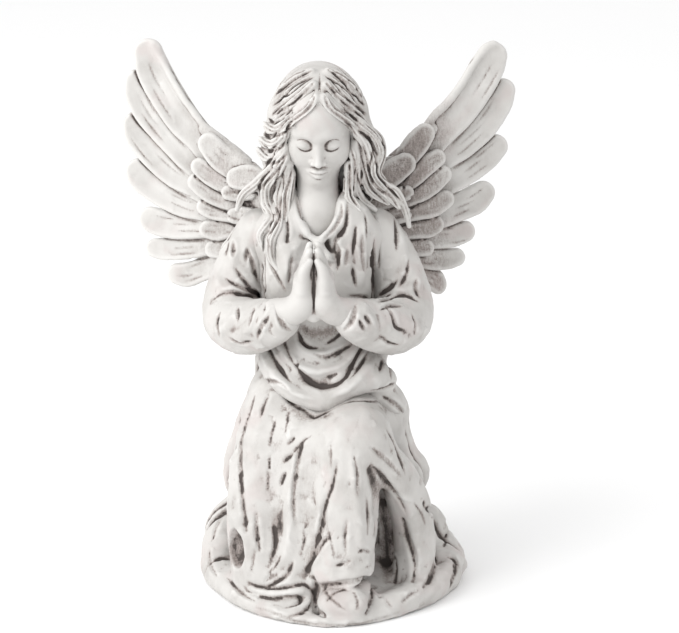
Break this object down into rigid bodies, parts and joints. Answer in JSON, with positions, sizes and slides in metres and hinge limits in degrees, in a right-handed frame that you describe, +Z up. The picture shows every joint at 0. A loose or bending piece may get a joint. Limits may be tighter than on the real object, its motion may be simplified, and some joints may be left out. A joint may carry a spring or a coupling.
{
  "type": "angel figurine",
  "caption": "Cast-resin kneeling angel statuette with joined hands, bowed head and spread wings, built from bonded castings with keyed joints.",
  "frame": {"origin": "middle of the overall box at the height of the underside", "axes": "+Z up, longest extent; the figure faces -Y; +X is the figure's own left"},
  "size_m": [0.1905, 0.145, 0.2536],
  "materials": {
    "antiqued_resin": "satin, antiqued white wash with darker recesses",
    "plate_resin": "unpainted, matt",
    "reinforcing_steel": "drawn bright steel"
  },
  "bodies": {
    "root": {"skirt_casting": "antiqued_resin", "base_plate": "plate_resin", "torso_casting": "antiqued_resin", "left_arm_casting": "antiqued_resin", "right_arm_casting": "antiqued_resin", "praying_hands": "antiqued_resin", "head_casting": "antiqued_resin", "neck_dowel": "reinforcing_steel", "left_wing": "antiqued_resin", "right_wing": "antiqued_resin", "left_wing_rod": "reinforcing_steel", "right_wing_rod": "reinforcing_steel"}
  },
  "joints": []
}
